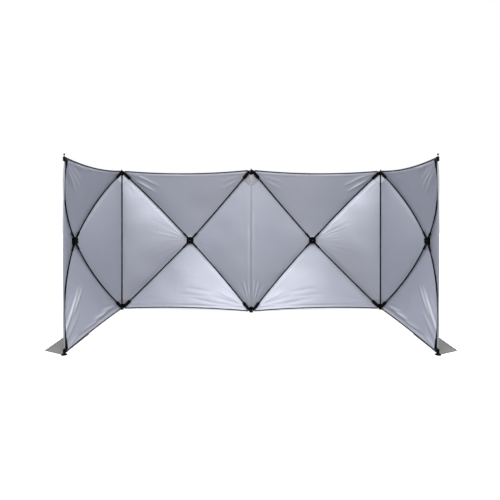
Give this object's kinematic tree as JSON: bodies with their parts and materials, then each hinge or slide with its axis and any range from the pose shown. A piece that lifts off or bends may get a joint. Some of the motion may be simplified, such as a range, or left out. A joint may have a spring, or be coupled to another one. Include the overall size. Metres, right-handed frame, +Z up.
{
  "type": "beach windbreak",
  "caption": "Free-standing folding beach windbreak: bays of taut grey fabric stretched by bowed poles from pop-out hubs, swung into a sheltering U.",
  "frame": {"origin": "on the ground under the centre fold, in the middle of its foot's flat underside", "axes": "+X along the middle bays to the right seen from the sheltered side, +Y away from the sheltered side, +Z up"},
  "size_m": [3.3538, 1.6357, 1.528],
  "materials": {
    "fabric": "satin coated polyester, lavender grey inside, neutral grey outside",
    "flap_fabric": "matte neutral grey polyester",
    "hem_tape": "dark grey woven binding",
    "fold_tape": "black woven binding",
    "pole": "black satin glass-fibre rod",
    "black_plastic": "black moulded nylon",
    "black_rubber": "black moulded rubber"
  },
  "bodies": {
    "left_wing": {"left_wing_fabric": "fabric", "left_wing_hems": "hem_tape", "left_wing_poles": "pole", "left_wing_ferrules": "black_plastic", "left_wing_boots": "black_plastic", "left_wing_hub": "black_plastic", "left_wing_hub_cap": "black_plastic", "left_end_hem": "fabric", "left_end_tip": "black_plastic", "left_end_foot": "black_rubber", "left_end_flap": "flap_fabric"},
    "left_middle": {"left_middle_fabric": "fabric", "left_middle_hems": "hem_tape", "left_middle_poles": "pole", "left_middle_ferrules": "black_plastic", "left_middle_boots": "black_plastic", "left_middle_hub": "black_plastic", "left_middle_hub_cap": "black_plastic", "left_fold_binding": "fold_tape", "left_fold_tip": "black_plastic", "left_fold_foot": "black_rubber", "centre_fold_binding": "fabric", "centre_fold_tip": "black_plastic", "centre_fold_foot": "black_rubber"},
    "right_middle": {"right_middle_fabric": "fabric", "right_middle_hems": "hem_tape", "right_middle_poles": "pole", "right_middle_ferrules": "black_plastic", "right_middle_boots": "black_plastic", "right_middle_hub": "black_plastic", "right_middle_hub_cap": "black_plastic", "right_fold_binding": "fold_tape", "right_fold_tip": "black_plastic", "right_fold_foot": "black_rubber"},
    "right_wing": {"right_wing_fabric": "fabric", "right_wing_hems": "hem_tape", "right_wing_poles": "pole", "right_wing_ferrules": "black_plastic", "right_wing_boots": "black_plastic", "right_wing_hub": "black_plastic", "right_wing_hub_cap": "black_plastic", "right_end_hem": "fabric", "right_end_tip": "black_plastic", "right_end_foot": "black_rubber", "right_end_flap": "flap_fabric"}
  },
  "joints": [
    {"name": "left_fold", "type": "hinge", "parent": "left_middle", "child": "left_wing", "pos_m": [-1.40464, 0.12289, 0], "axis": [0, 0, 1], "range_deg": [-94.5, 25.5]},
    {"name": "centre_fold", "type": "hinge", "parent": "left_middle", "child": "right_middle", "pos_m": [0, 0, 0], "axis": [0, 0, -1], "range_deg": [-20, 40]},
    {"name": "right_fold", "type": "hinge", "parent": "right_middle", "child": "right_wing", "pos_m": [1.40464, 0.12289, 0], "axis": [0, 0, -1], "range_deg": [-94.5, 25.5]}
  ]
}
